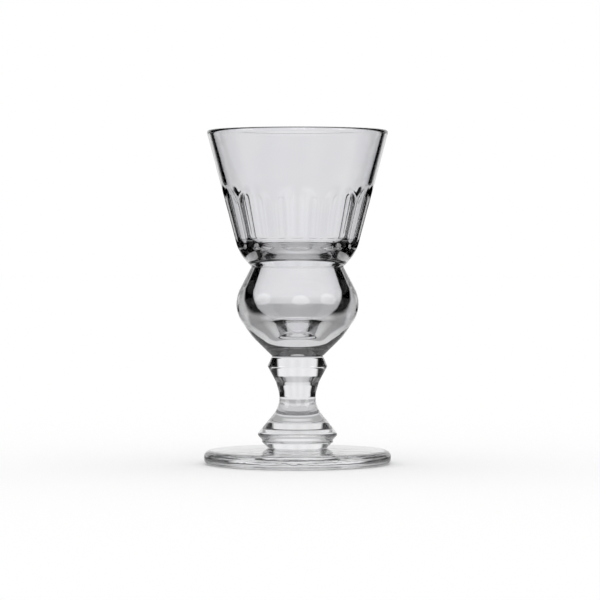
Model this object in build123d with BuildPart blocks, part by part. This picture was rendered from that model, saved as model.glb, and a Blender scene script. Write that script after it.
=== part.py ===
from build123d import *
import os
from math import atan, cos, pi, sin, tan

# A small stemmed shot glass in clear pressed glass: a flared bowl with ten arched
# flutes, a round reservoir under it, a knopped stem and a disc foot. The glass is
# worked in three gathers that are joined hot, and each gather is one solid here.
# Millimetres, +Z up, with the origin at the centre of the resting plane of the foot.

os.makedirs("parts", exist_ok=True)

# ---- Joints between the three gathers
foot_joint_z = 4.8
foot_joint_radius = 8.85
bowl_joint_z = 32.3
bowl_joint_radius = 7.65

# ---- Foot: a pressed disc, a little domed on top and hollowed underneath
foot_radius = 28.05
foot_rim_z = 3.95
foot_bottom_round = 1.35
foot_top_round = 1.9
resting_ring_radius = 21.5
resting_ring_round = 6.0
foot_hollow_depth = 0.7

# ---- Stem: flared base and rounded collar, waist, and a sharp-edged knop at the top
stem_base_radius = 10.75
stem_base_z = 6.6
collar_groove_radius = 10.55
collar_groove_z = 7.0
collar_radius = 12.3
collar_z = 8.9
collar_round = 1.2
waist_radius = 5.45
waist_low_z = 17.1
waist_high_z = 21.0
waist_flare = 7.0
knop_neck_radius = 6.5
knop_neck_z = 24.6
knop_radius = 8.95
knop_z = 29.2

# ---- Bowl: reservoir bulb below, flared cone above
bulb_base_radius = 13.5
bulb_base_z = 38.0
bulb_base_round = 18.0
bulb_radius = 18.35
bulb_low_z = 44.9
bulb_low_round = 9.0
bulb_high_z = 50.3
bulb_high_round = 9.5
throat_radius = 13.8
throat_z = 59.1
throat_round = 0.35
shoulder_radius = 17.6
shoulder_z = 63.2
shoulder_round = 12.0
rim_radius = 27.35
rim_z = 100.0
lip_round = 0.4

# ---- Flutes pressed into the outside of the cone
flute_count = 10
land_width = 1.3
flute_top_z = 83.9
flute_foot_z = 64.9
flute_corner = 4.0
flute_step_angle = 50.0
flute_tool_depth = 2.5

# ---- Thickness of the glass between the outside of the bowl and its hollow
lip_wall = 1.75
fluted_wall = 1.95
floor_edge_wall = 1.8
neck_wall = 2.8
reservoir_wall = 4.45
base_thickness = 7.3

# The cone would run down to a point at apex_z.
cone_slope = (rim_radius - shoulder_radius) / (rim_z - shoulder_z)
apex_z = shoulder_z - shoulder_radius / cone_slope

# ---- Hollow of the bowl, set in from the outside by those walls
inner_bend_z = flute_top_z - 1.6
inner_bend_radius = (inner_bend_z - apex_z) * cone_slope - fluted_wall
bowl_floor_z = shoulder_z + floor_edge_wall
bowl_floor_radius = (bowl_floor_z - apex_z) * cone_slope - floor_edge_wall
inner_throat_radius = throat_radius - neck_wall
neck_mouth_radius = inner_throat_radius + 1.0
neck_mouth_z = bowl_floor_z - 2.2
inner_throat_high_z = throat_z + 0.9
inner_throat_low_z = throat_z - 0.6
reservoir_radius = bulb_radius - reservoir_wall
reservoir_z = bulb_high_z + 0.7
reservoir_floor_radius = reservoir_radius - 1.6
reservoir_floor_z = bowl_joint_z + base_thickness


def soften(outline, radius, x, y):
    """Round the corner of a half outline that stands nearest to (x, y)."""
    fillet(outline.vertices().sort_by_distance((x, y))[0], radius)


# ---- Foot
with BuildPart() as foot:
    with BuildSketch(Plane.XZ) as foot_outline:
        with BuildLine():
            Polyline(
                (0, foot_hollow_depth),
                (resting_ring_radius, 0),
                (foot_radius, 0),
                (foot_radius, foot_rim_z),
                (foot_joint_radius, foot_joint_z),
                (0, foot_joint_z),
                close=True,
            )
        make_face()
        soften(foot_outline, resting_ring_round, resting_ring_radius, 0)
        soften(foot_outline, foot_bottom_round, foot_radius, 0)
        soften(foot_outline, foot_top_round, foot_radius, foot_rim_z)
    revolve(axis=Axis.Z)
foot.part.label = "foot"
export_step(foot.part, "parts/foot.step")


# ---- Stem
with BuildPart() as stem:
    with BuildSketch(Plane.XZ) as stem_outline:
        with BuildLine():
            Polyline(
                (0, foot_joint_z),
                (foot_joint_radius, foot_joint_z),
                (stem_base_radius, stem_base_z),
                (collar_groove_radius, collar_groove_z),
                (collar_radius, collar_z),
                (waist_radius, waist_low_z),
                (waist_radius, waist_high_z),
                (knop_neck_radius, knop_neck_z),
                (knop_radius, knop_z),
                (bowl_joint_radius, bowl_joint_z),
                (0, bowl_joint_z),
                close=True,
            )
        make_face()
        soften(stem_outline, 0.2, stem_base_radius, stem_base_z)
        soften(stem_outline, 0.1, collar_groove_radius, collar_groove_z)
        soften(stem_outline, collar_round, collar_radius, collar_z)
        soften(stem_outline, waist_flare, waist_radius, waist_low_z)
        soften(stem_outline, waist_flare, waist_radius, waist_high_z)
        soften(stem_outline, 0.8, knop_neck_radius, knop_neck_z)
        soften(stem_outline, 0.35, knop_radius, knop_z)
    revolve(axis=Axis.Z)
stem.part.label = "stem"
export_step(stem.part, "parts/stem.step")


# ---- Flute: an arch-topped tablet that leans with the cone and is cut away from it.
# Its face is a plane through the apex of the cone, so the lands between the flutes
# keep in line with the slope, and its slanted border makes the soft step of the arch.
half_flute = pi / flute_count - land_width / 2 / shoulder_radius
flute_lean = atan(cone_slope * cos(half_flute))
flute_low = (flute_foot_z - apex_z) / cos(flute_lean)
flute_high = (flute_top_z - apex_z) / cos(flute_lean)
flute_spread = sin(flute_lean) * tan(half_flute)

flute_plane = Plane(
    origin=(0, 0, apex_z),
    x_dir=(1, 0, 0),
    z_dir=(0, -cos(flute_lean), -sin(flute_lean)),
)

with BuildPart() as flute_tool:
    with BuildSketch(flute_plane) as flute_face:
        with BuildLine():
            Polyline(
                (-flute_low * flute_spread, flute_low),
                (flute_low * flute_spread, flute_low),
                (flute_high * flute_spread, flute_high),
                (-flute_high * flute_spread, flute_high),
                close=True,
            )
        make_face()
        fillet(flute_face.vertices().group_by(Axis.Y)[-1], flute_corner)
    extrude(amount=flute_tool_depth, taper=-flute_step_angle)


# ---- Bowl: outside and hollow turned together, then the flutes
with BuildPart() as bowl:
    with BuildSketch(Plane.XZ) as bowl_outline:
        with BuildLine():
            Polyline(
                (0, bowl_joint_z),
                (bowl_joint_radius, bowl_joint_z),
                (bulb_base_radius, bulb_base_z),
                (bulb_radius, bulb_low_z),
                (bulb_radius, bulb_high_z),
                (throat_radius, throat_z),
                (shoulder_radius, shoulder_z),
                (rim_radius, rim_z),
                (rim_radius - lip_wall, rim_z),
                (inner_bend_radius, inner_bend_z),
                (bowl_floor_radius, bowl_floor_z),
                (neck_mouth_radius, neck_mouth_z),
                (inner_throat_radius, inner_throat_high_z),
                (inner_throat_radius, inner_throat_low_z),
                (reservoir_radius, reservoir_z),
                (reservoir_floor_radius, reservoir_floor_z),
                (0, reservoir_floor_z),
                close=True,
            )
        make_face()
        soften(bowl_outline, bulb_base_round, bulb_base_radius, bulb_base_z)
        soften(bowl_outline, bulb_low_round, bulb_radius, bulb_low_z)
        soften(bowl_outline, bulb_high_round, bulb_radius, bulb_high_z)
        soften(bowl_outline, throat_round, throat_radius, throat_z)
        soften(bowl_outline, shoulder_round, shoulder_radius, shoulder_z)
        soften(bowl_outline, lip_round, rim_radius, rim_z)
        soften(bowl_outline, lip_round, rim_radius - lip_wall, rim_z)
        soften(bowl_outline, 6, inner_bend_radius, inner_bend_z)
        soften(bowl_outline, 3, bowl_floor_radius, bowl_floor_z)
        soften(bowl_outline, 1.6, neck_mouth_radius, neck_mouth_z)
        soften(bowl_outline, 0.8, inner_throat_radius, inner_throat_high_z)
        soften(bowl_outline, 0.8, inner_throat_radius, inner_throat_low_z)
        soften(bowl_outline, 6, reservoir_radius, reservoir_z)
        soften(bowl_outline, 10, reservoir_floor_radius, reservoir_floor_z)
    revolve(axis=Axis.Z)
    with PolarLocations(0, flute_count):
        add(flute_tool.part, mode=Mode.SUBTRACT)
bowl.part.label = "bowl"
export_step(bowl.part, "parts/bowl.step")
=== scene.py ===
from math import atan2, cos, hypot, pi, radians, sin, tan
import bmesh
import bpy
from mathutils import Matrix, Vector


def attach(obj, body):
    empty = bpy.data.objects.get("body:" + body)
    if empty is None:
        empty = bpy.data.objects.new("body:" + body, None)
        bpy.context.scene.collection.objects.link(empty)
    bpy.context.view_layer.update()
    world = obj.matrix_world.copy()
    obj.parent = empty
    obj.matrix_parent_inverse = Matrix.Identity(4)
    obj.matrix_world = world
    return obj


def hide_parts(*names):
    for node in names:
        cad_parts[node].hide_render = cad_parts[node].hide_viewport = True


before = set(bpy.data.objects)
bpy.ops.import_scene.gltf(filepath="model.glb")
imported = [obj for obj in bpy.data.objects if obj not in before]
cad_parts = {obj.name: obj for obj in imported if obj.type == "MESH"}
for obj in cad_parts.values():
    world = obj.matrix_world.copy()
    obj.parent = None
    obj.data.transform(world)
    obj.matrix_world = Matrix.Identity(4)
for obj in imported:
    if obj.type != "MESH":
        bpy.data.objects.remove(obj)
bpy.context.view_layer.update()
MM = 0.001


# ------------------------------------------------------------------ small tools

def linear(hex_colour):
    """Linear RGBA of an sRGB hex colour."""
    values = [int(hex_colour[i:i + 2], 16) / 255 for i in (1, 3, 5)]
    return [v / 12.92 if v <= 0.04045 else ((v + 0.055) / 1.055) ** 2.4 for v in values] + [1.0]


def add(tree, kind, settings=None, **sockets):
    """Add a node: settings are its own properties, sockets are values or links.

    The setting stops gives a colour ramp its (position, grey) stops."""
    node = tree.nodes.new(kind)
    for name, value in (settings or {}).items():
        if name != "stops":
            setattr(node, name, value)
            continue
        while len(node.color_ramp.elements) < len(value):
            node.color_ramp.elements.new(0.5)
        for element, (position, grey) in zip(node.color_ramp.elements, value):
            element.position = position
            element.color = (grey, grey, grey, 1)
    for name, value in sockets.items():
        key = int(name[1:]) if name[1:].isdigit() else name.replace("_", " ")
        socket = node.inputs[key]
        if isinstance(value, bpy.types.NodeSocket):
            tree.links.new(value, socket)
        else:
            socket.default_value = value
    return node


# ------------------------------------------------------------------ turned glass

def half_outline(corners, longest):
    """A wire outline in the XZ plane from (r, z, rounding) corners in mm.

    Every corner is bevelled to its own arc, then long straight runs are divided."""
    bm = bmesh.new()
    points = [bm.verts.new((r, 0, z)) for r, z, rounding in corners]
    for a, b in zip(points, points[1:]):
        bm.edges.new((a, b))
    turns = []
    for i in range(1, len(corners) - 1):
        if corners[i][2]:
            before = (points[i - 1].co - points[i].co).normalized()
            after = (points[i + 1].co - points[i].co).normalized()
            turn = pi - before.angle(after)
            turns.append((points[i], corners[i][2], turn))
    for point, rounding, turn in turns:
        steps = max(3, round(rounding * turn / longest * 1.6))
        bmesh.ops.bevel(bm, geom=[point], offset=rounding * tan(turn / 2), offset_type="OFFSET",
                        segments=steps, profile=0.5, affect="VERTICES", material=-1)
    for edge in bm.edges[:]:
        cuts = int(edge.calc_length() / longest)
        if cuts:
            bmesh.ops.subdivide_edges(bm, edges=[edge], cuts=cuts)
    return bm


def turn(bm, repeats, sides, press=None):
    """Turn a half outline into a closed piece of glass with outward faces.

    One share of the round is spun and pressed, and the share is then repeated."""
    share = 2 * pi / repeats
    bmesh.ops.spin(bm, geom=bm.verts[:] + bm.edges[:], cent=(0, 0, 0), axis=(0, 0, 1),
                   dvec=(0, 0, 0), angle=share, steps=sides, use_merge=False)
    if press:
        press(bm)
    bmesh.ops.spin(bm, geom=bm.verts[:] + bm.edges[:] + bm.faces[:], cent=(0, 0, 0), axis=(0, 0, 1),
                   dvec=(0, 0, 0), angle=2 * pi - share, steps=repeats - 1, use_duplicate=True)
    bmesh.ops.remove_doubles(bm, verts=bm.verts, dist=0.0005)
    bmesh.ops.recalc_face_normals(bm, faces=bm.faces)


def piece(name, bm, node, glass, joints):
    """Turn a bmesh in mm into a scene piece that stands for a CAD node."""
    for face in bm.faces:
        face.smooth = True
        middle = face.calc_center_median()
        for z, radius in joints:
            if abs(middle.z - z) < 0.01 and hypot(middle.x, middle.y) < radius:
                face.material_index = 1
    bmesh.ops.scale(bm, vec=(MM, MM, MM), verts=bm.verts)
    mesh = bpy.data.meshes.new(name)
    bm.to_mesh(mesh)
    bm.free()
    mesh.materials.append(glass)
    mesh.materials.append(hot_joint)
    made = bpy.data.objects.new(name, mesh)
    bpy.context.scene.collection.objects.link(made)
    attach(made, "root")
    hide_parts(node)
    return made


# ------------------------------------------------------------------ sizes, mm

foot_joint_z = 4.8
bowl_joint_z = 32.3
bowl_joint_radius = 7.65
foot_joint_radius = 8.85

foot_corners = [
    (0, 0.7, 0),
    (21.5, 0, 6),
    (28.05, 0, 1.35),
    (28.05, 3.95, 1.9),
    (foot_joint_radius, foot_joint_z, 0),
    (0, foot_joint_z, 0),
]

stem_corners = [
    (0, foot_joint_z, 0),
    (foot_joint_radius, foot_joint_z, 0),
    (10.75, 6.6, 0.2),
    (10.55, 7.0, 0.1),
    (12.1, 8.85, 0.7),
    (5.45, 17.1, 7.0),
    (5.45, 21.0, 7.0),
    (6.5, 24.6, 0.8),
    (8.95, 29.2, 0.35),
    (bowl_joint_radius, bowl_joint_z, 0),
    (0, bowl_joint_z, 0),
]

shoulder_radius = 17.6
shoulder_z = 63.2
rim_radius = 27.35
rim_z = 100.0
rim_wall = 1.75

bowl_corners = [
    (0, bowl_joint_z, 0),
    (bowl_joint_radius, bowl_joint_z, 0),
    (13.5, 38.0, 18.0),
    (18.35, 44.9, 9.0),
    (18.35, 50.3, 9.5),
    (13.8, 59.1, 0.35),
    (shoulder_radius, shoulder_z, 12.0),
    (rim_radius, rim_z, 0.75),
    (rim_radius - rim_wall, rim_z, 0.75),
    (20.7, 82.3, 6.0),
    (16.9, 67.0, 4.0),
    (12.4, 62.4, 1.2),
    (11.4, 62.0, 0.6),
    (11.0, 58.2, 0.8),
    (13.8, 49.6, 6.0),
    (12.6, 45.6, 6.5),
    (5.6, 40.0, 4.0),
    (0, 39.8, 0),
]

flute_count = 10
land_width = 1.3
flute_top_z = 83.9
flute_foot_z = 64.9
arch_drop = 4.5
arch_fade = 3.4
foot_fade = 0.9
land_softness = 0.2


def press_flutes(bm):
    """Press flat, arch-topped flutes into the outside of the cone.

    Each flute lies in a plane through the apex of the cone, so its depth and the
    lands beside it keep in step with the slope. The plane fades out of the glass
    slowly at the arch and quickly at the foot, and the fire polish rounds the lands."""
    slope = (rim_radius - shoulder_radius) / (rim_z - shoulder_z)
    pitch = 2 * pi / flute_count
    half = pitch / 2 - land_width / 2 / shoulder_radius
    sag = 1 - cos(half)
    for v in bm.verts:
        outside = shoulder_radius + (v.co.z - shoulder_z) * slope
        radius = hypot(v.co.x, v.co.y)
        if v.co.z > flute_top_z + 1 or v.co.z < flute_foot_z - 1.5 or radius < 0.93 * outside:
            continue
        around = atan2(v.co.y, v.co.x) - pitch / 2
        across = min(1.0, abs(around) / half)
        arch_z = flute_top_z - arch_drop * (1 - (1 - across ** 2.6) ** (1 / 2.6))
        face = outside * cos(half) / cos(around)
        over_arch = min(1.0, max(0.0, (v.co.z - (arch_z - arch_fade)) / arch_fade))
        over_foot = max(0.0, (flute_foot_z - v.co.z) / foot_fade)
        face += outside * sag * (over_arch ** 2 * (3 - 2 * over_arch) + over_foot ** 2) * 1.15
        meet = max(0.0, land_softness - abs(radius - face)) / land_softness
        face = min(radius, face) - meet ** 2 * land_softness / 4
        if v.co.z < arch_z and face < radius:
            v.co.x *= face / radius
            v.co.y *= face / radius


# ------------------------------------------------------------------ glass

glass_ior = 1.52
streak_mm = 12


def clear_glass(name, inner_mirror_painted_shade, ripple_mm, ripple_height_mm):
    """Clear soda-lime glass, fire-polished: colourless and mirror-smooth to the eye.

    The ripples are as far apart and as high as given, in mm. They make the edges that
    show through the glass waver a little, and they are drawn higher than real ones where
    those would be too low to show. Faint streaks of the melt vary the tint. Light that is
    mirrored inside the glass is painted darker: only the given share goes on, a painted
    shade that keeps the thick edges dark."""
    material = bpy.data.materials.new(name)
    material.use_nodes = True
    tree = material.node_tree
    tree.nodes.clear()
    place = add(tree, "ShaderNodeTexCoord")
    ripple = add(tree, "ShaderNodeTexNoise", Vector=place.outputs["Object"],
                 Scale=1 / (ripple_mm * MM), Detail=2.0, Roughness=0.45)
    bump = add(tree, "ShaderNodeBump", Height=ripple.outputs[0],
               Distance=ripple_height_mm * MM, Strength=1.0)
    fresnel = add(tree, "ShaderNodeFresnel", IOR=glass_ior, Normal=bump.outputs[0])
    streak = add(tree, "ShaderNodeTexNoise", Vector=place.outputs["Object"],
                 Scale=1 / (streak_mm * MM), Detail=1.0)
    tint = add(tree, "ShaderNodeMix", {"data_type": "RGBA"}, _0=streak.outputs[0],
               _6=linear("#FCFCFE"), _7=linear("#FFFFFF"))
    refract = add(tree, "ShaderNodeBsdfRefraction", Color=tint.outputs[2], IOR=glass_ior,
                  Roughness=0.0, Normal=bump.outputs[0])
    inside = add(tree, "ShaderNodeNewGeometry")
    # Painted shade: light mirrored on the inside faces is darkened to the given share.
    mirror = add(tree, "ShaderNodeValToRGB", {"stops": [(0.0, 1.0), (1.0, inner_mirror_painted_shade)]},
                 Fac=inside.outputs["Backfacing"])
    gloss = add(tree, "ShaderNodeBsdfGlossy", Color=mirror.outputs[0], Roughness=0.0,
                Normal=bump.outputs[0])
    glass = add(tree, "ShaderNodeMixShader", _0=fresnel.outputs[0], _1=refract.outputs[0],
                _2=gloss.outputs[0])
    add(tree, "ShaderNodeOutputMaterial", Surface=glass.outputs[0])
    return material


# Where two gathers are welded hot there is no surface left to see, so light goes straight on.
hot_joint = bpy.data.materials.new("hot welded joint")
hot_joint.use_nodes = True
hot_joint.node_tree.nodes.clear()
through = add(hot_joint.node_tree, "ShaderNodeBsdfTransparent")
add(hot_joint.node_tree, "ShaderNodeOutputMaterial", Surface=through.outputs[0])

bowl_glass = clear_glass("pressed soda-lime glass bowl", inner_mirror_painted_shade=0.8,
                         ripple_mm=9, ripple_height_mm=0.006)
stem_glass = clear_glass("tooled soda-lime glass stem", inner_mirror_painted_shade=0.8,
                         ripple_mm=6, ripple_height_mm=0.008)
foot_glass = clear_glass("pressed soda-lime glass foot", inner_mirror_painted_shade=0.95,
                         ripple_mm=5, ripple_height_mm=0.1)

# ------------------------------------------------------------------ pieces

# The longest step along an outline is in mm. Each flute, or its share of the round, has
# the same number of sides in all three pieces, so that their joints meet point to point.
flute_sides = 28

foot = half_outline(foot_corners, longest=0.7)
turn(foot, flute_count, flute_sides)
piece("disc_foot", foot, "foot", foot_glass, [(foot_joint_z, foot_joint_radius)])

stem = half_outline(stem_corners, longest=0.5)
turn(stem, flute_count, flute_sides)
piece("knopped_stem", stem, "stem", stem_glass,
      [(foot_joint_z, foot_joint_radius), (bowl_joint_z, bowl_joint_radius)])

bowl = half_outline(bowl_corners, longest=0.55)
turn(bowl, flute_count, flute_sides, press_flutes)
piece("flared_bowl", bowl, "bowl", bowl_glass, [(bowl_joint_z, bowl_joint_radius)])

# ------------------------------------------------------------------ what the glass shows

# Directions are in degrees round from straight behind the glass, alike on both sides, and
# reach 180 at the camera. A dark flag stands on each side. It ends at flag_end, and the
# paler walls of the tent begin at wall_start.
flag_end = 78
wall_start = 86


def turned_from_behind(tree, x, y):
    """How far round a place or a way lies, from 0 straight behind to 1 at the camera."""
    side = add(tree, "ShaderNodeMath", {"operation": "ABSOLUTE"}, _0=x)
    angle = add(tree, "ShaderNodeMath", {"operation": "ARCTAN2"}, _0=side.outputs[0], _1=y)
    part = add(tree, "ShaderNodeMath", {"operation": "DIVIDE"}, _0=angle.outputs[0], _1=pi)
    return part.outputs[0]


def by_way_of_glass(tree, ray):
    """1 for a ray that was bent or mirrored by the glass, 0 for the eye and matt surfaces."""
    either = add(tree, "ShaderNodeMath", {"operation": "MAXIMUM"},
                 _0=ray.outputs["Is Glossy Ray"], _1=ray.outputs["Is Transmission Ray"])
    return either.outputs[0]


def straight_through(tree, ray):
    """1 for a ray that went right through a wall of the glass and was mirrored nowhere."""
    past_wall = add(tree, "ShaderNodeMath", {"operation": "GREATER_THAN"},
                    _0=ray.outputs["Transmission Depth"], _1=1.5)
    unmirrored = add(tree, "ShaderNodeMath", {"operation": "LESS_THAN"},
                     _0=ray.outputs["Glossy Depth"], _1=0.5)
    both = add(tree, "ShaderNodeMath", {"operation": "MULTIPLY"},
               _0=past_wall.outputs[0], _1=unmirrored.outputs[0])
    return both.outputs[0]


# ------------------------------------------------------------------ floor

# White laminate, matt. To the eye it is plain white and takes the shadow of the glass. In
# the glass it shows painted light and shade: a painted lit strip that runs back to the
# backdrop between two dark flags. Rays that go straight through a wall see it painted
# plain and pale, so that the open bowl stays clear from every side and only the edges
# and the thick glass pick up the flags.
bpy.ops.mesh.primitive_plane_add(size=12)
floor = bpy.context.object
floor.name = "studio_table"
floor.location.z = -0.00005  # a hair under the foot, so that the two faces don't coincide
pale = bpy.data.materials.new("white laminate table")
pale.use_nodes = True
tree = pale.node_tree
tree.nodes.clear()
place = add(tree, "ShaderNodeTexCoord")
xyz = add(tree, "ShaderNodeSeparateXYZ", Vector=place.outputs["Object"])
ray = add(tree, "ShaderNodeLightPath")

# The lit strip, painted light: its half width in metres is a sum of a start and a share
# of the way back, near the glass and far from it, and its edge is 40 mm soft.
side = add(tree, "ShaderNodeMath", {"operation": "ABSOLUTE"}, _0=xyz.outputs["X"])
near_edge = add(tree, "ShaderNodeMath", {"operation": "MULTIPLY_ADD"},
                _0=xyz.outputs["Y"], _1=0.28, _2=0.038)
far_edge = add(tree, "ShaderNodeMath", {"operation": "MULTIPLY_ADD"},
               _0=xyz.outputs["Y"], _1=0.67, _2=-0.19)
edge = add(tree, "ShaderNodeMath", {"operation": "MAXIMUM"},
           _0=near_edge.outputs[0], _1=far_edge.outputs[0])
past_edge = add(tree, "ShaderNodeMath", {"operation": "SUBTRACT"},
                _0=side.outputs[0], _1=edge.outputs[0])
strip = add(tree, "ShaderNodeMapRange", {"interpolation_type": "SMOOTHSTEP"},
            Value=past_edge.outputs[0], From_Min=-0.02, From_Max=0.02, To_Min=1.0, To_Max=0.0)

# Painted shade, by the distance from the glass in metres: it is lowest in the glass's own
# painted shadow, and lighter close under the glass.
distance = add(tree, "ShaderNodeVectorMath", {"operation": "LENGTH"}, _0=place.outputs["Object"])
painted_shade_stops = [(0.0, 0.8), (0.035, 0.75), (0.055, 0.46), (0.12, 0.46), (0.15, 0.68), (0.22, 0.86)]
shade = add(tree, "ShaderNodeValToRGB", {"stops": painted_shade_stops}, Fac=distance.outputs["Value"])

# The plain table for rays straight through, painted pale: up to 0.8 m away, but only to
# 0.37 m beside the glass for rays through both walls of the bowl, where the outer flutes
# show the flags.
part = turned_from_behind(tree, xyz.outputs["X"], xyz.outputs["Y"])
beside = add(tree, "ShaderNodeMapRange", {"interpolation_type": "SMOOTHSTEP"}, Value=part,
             From_Min=flag_end / 180, From_Max=wall_start / 180, To_Min=0.0, To_Max=1.0)
both_walls = add(tree, "ShaderNodeMath", {"operation": "GREATER_THAN"},
                 _0=ray.outputs["Transmission Depth"], _1=2.5)
outer_flutes = add(tree, "ShaderNodeMapRange", {"interpolation_type": "SMOOTHSTEP"}, Value=part,
                   From_Min=60 / 180, From_Max=66 / 180, To_Min=0.0, To_Max=both_walls.outputs[0])
within_long = add(tree, "ShaderNodeMapRange", {"interpolation_type": "SMOOTHSTEP"},
                  Value=distance.outputs["Value"], From_Min=0.8, From_Max=0.95,
                  To_Min=1.0, To_Max=0.0)
within_short = add(tree, "ShaderNodeMapRange", {"interpolation_type": "SMOOTHSTEP"},
                   Value=distance.outputs["Value"], From_Min=0.37, From_Max=0.42,
                   To_Min=1.0, To_Max=0.0)
within = add(tree, "ShaderNodeMix", _0=outer_flutes.outputs[0],
             _2=within_long.outputs[0], _3=within_short.outputs[0])
open_table = add(tree, "ShaderNodeMath", {"operation": "MAXIMUM"},
                 _0=beside.outputs[0], _1=within.outputs[0])
plain = add(tree, "ShaderNodeMath", {"operation": "MULTIPLY"},
            _0=open_table.outputs[0], _1=straight_through(tree, ray))

# Painted shade and light on the table beside and before the glass, by degrees round:
# dim, and lighter at the camera.
painted_front_stops = [(0, 0.0), (wall_start, 0.0), (95, 0.12), (135, 0.12), (158, 0.6), (180, 0.6)]
front = add(tree, "ShaderNodeValToRGB", {"stops": [(turned / 180, grey)
            for turned, grey in painted_front_stops]}, Fac=part)

# The painted light of the strip, the plain table and the front, times the painted shade, is emitted
# for rays by way of the glass only; the eye sees the matt white.
behind_lit = add(tree, "ShaderNodeMath", {"operation": "MAXIMUM"},
                 _0=strip.outputs[0], _1=plain.outputs[0])
lit = add(tree, "ShaderNodeMath", {"operation": "MAXIMUM"},
          _0=behind_lit.outputs[0], _1=front.outputs[0])
shown = add(tree, "ShaderNodeMix", {"data_type": "RGBA", "blend_type": "MULTIPLY"}, _0=1.0,
            _6=shade.outputs[0], _7=lit.outputs[0])
painted_light_glow = add(tree, "ShaderNodeEmission", Color=shown.outputs[2], Strength=1.0)
matt = add(tree, "ShaderNodeBsdfDiffuse", Color=(1, 1, 1, 1))
table = add(tree, "ShaderNodeMixShader", _0=by_way_of_glass(tree, ray),
            _1=matt.outputs[0], _2=painted_light_glow.outputs[0])
add(tree, "ShaderNodeOutputMaterial", Surface=table.outputs[0])
floor.data.materials.append(pale)

# ------------------------------------------------------------------ light

# A plain white tent to the eye and to matt surfaces. In the glass it shows as a bright
# backdrop, a dark flag on each side of it, paler walls further round and three round lamps.
world = bpy.data.worlds.new("light tent")
bpy.context.scene.world = world
world.use_nodes = True
tree = world.node_tree
tree.nodes.clear()
way = add(tree, "ShaderNodeTexCoord")
xyz = add(tree, "ShaderNodeSeparateXYZ", Vector=way.outputs["Generated"])
ray = add(tree, "ShaderNodeLightPath")

# Greys by degrees round. The backdrop is a little uneven, which shows up the lands between
# the front flutes.
part = turned_from_behind(tree, xyz.outputs["X"], xyz.outputs["Y"])
tent_stops = [(0, 0.82), (7, 0.9), (14, 0.84), (24, 0.92), (31, 0.88), (37, 0.0),
              (flag_end, 0.0), (wall_start, 0.34), (150, 0.34), (180, 0.3)]
tent = add(tree, "ShaderNodeValToRGB", {"stops": [(turned / 180, grey)
           for turned, grey in tent_stops]}, Fac=part)

# The tent grows darker overhead: 0 is straight down, 0.5 level and 1 straight up.
height = add(tree, "ShaderNodeMath", {"operation": "MULTIPLY_ADD"},
             _0=xyz.outputs["Z"], _1=0.5, _2=0.5)
overhead_stops = [(0.0, 1.0), (0.68, 1.0), (0.75, 0.9), (0.9, 0.5), (1.0, 0.3)]
overhead = add(tree, "ShaderNodeValToRGB", {"stops": overhead_stops}, Fac=height.outputs[0])
walls = add(tree, "ShaderNodeMix", {"data_type": "RGBA", "blend_type": "MULTIPLY"}, _0=1.0,
            _6=tent.outputs[0], _7=overhead.outputs[0])

# Rays straight through a wall see the walls of the tent as pale as the backdrop.
backdrop_grey = 0.86
clear = add(tree, "ShaderNodeMapRange", {"interpolation_type": "SMOOTHSTEP"}, Value=part,
            From_Min=flag_end / 180, From_Max=wall_start / 180, To_Min=0.0,
            To_Max=straight_through(tree, ray))
walls = add(tree, "ShaderNodeMix", {"data_type": "RGBA"}, _0=clear.outputs[0],
            _6=walls.outputs[2], _7=(backdrop_grey, backdrop_grey, backdrop_grey, 1))

# Three soft round lamps beside the camera. They show in the first two surfaces only, as
# highlights on the bulb. Their sizes and places are in degrees, to the right of the camera.
lamp_height = 15
lamp_size = 13
lamp_soft_size = 19
lamp_grey = 2.9
first = add(tree, "ShaderNodeMath", {"operation": "LESS_THAN"},
            _0=ray.outputs["Ray Depth"], _1=2.5)
bright = walls.outputs[2]
for right in (-71, 6, 62):
    lamp = Vector((sin(radians(right)), -cos(radians(right)), tan(radians(lamp_height))))
    near = add(tree, "ShaderNodeVectorMath", {"operation": "DOT_PRODUCT"},
               _0=way.outputs["Generated"], _1=lamp.normalized())
    soft = add(tree, "ShaderNodeMapRange", {"interpolation_type": "SMOOTHSTEP"},
               Value=near.outputs["Value"], From_Min=cos(radians(lamp_soft_size)),
               From_Max=cos(radians(lamp_size)), To_Min=0.0, To_Max=first.outputs[0])
    lit = add(tree, "ShaderNodeMix", {"data_type": "RGBA"}, _0=soft.outputs[0],
              _6=bright, _7=(lamp_grey, lamp_grey, lamp_grey, 1))
    bright = lit.outputs[2]
seen = add(tree, "ShaderNodeMix", {"data_type": "RGBA"}, _0=by_way_of_glass(tree, ray),
           _6=(1, 1, 1, 1), _7=bright)
sky = add(tree, "ShaderNodeBackground", Color=seen.outputs[2], Strength=1.0)
add(tree, "ShaderNodeOutputWorld", Surface=sky.outputs[0])

# ------------------------------------------------------------------ camera

scene = bpy.context.scene
camera = bpy.data.objects.new("camera", bpy.data.cameras.new("camera"))
scene.collection.objects.link(camera)
scene.camera = camera
camera.data.sensor_width = 36
camera.data.lens = 174.6
camera.data.clip_end = 100
camera.location = (0.00075, -0.873, 0.0642)  # between the heights of the foot and the rim
aim = Vector((0.00075, 0, 0.0491)) - camera.location
camera.rotation_euler = aim.to_track_quat("-Z", "Y").to_euler()

scene.view_settings.view_transform = "Standard"
# Light crosses many faces of clear glass before it leaves.
scene.cycles.max_bounces = 24
scene.cycles.transmission_bounces = 24
scene.cycles.glossy_bounces = 16
scene.cycles.transparent_max_bounces = 24
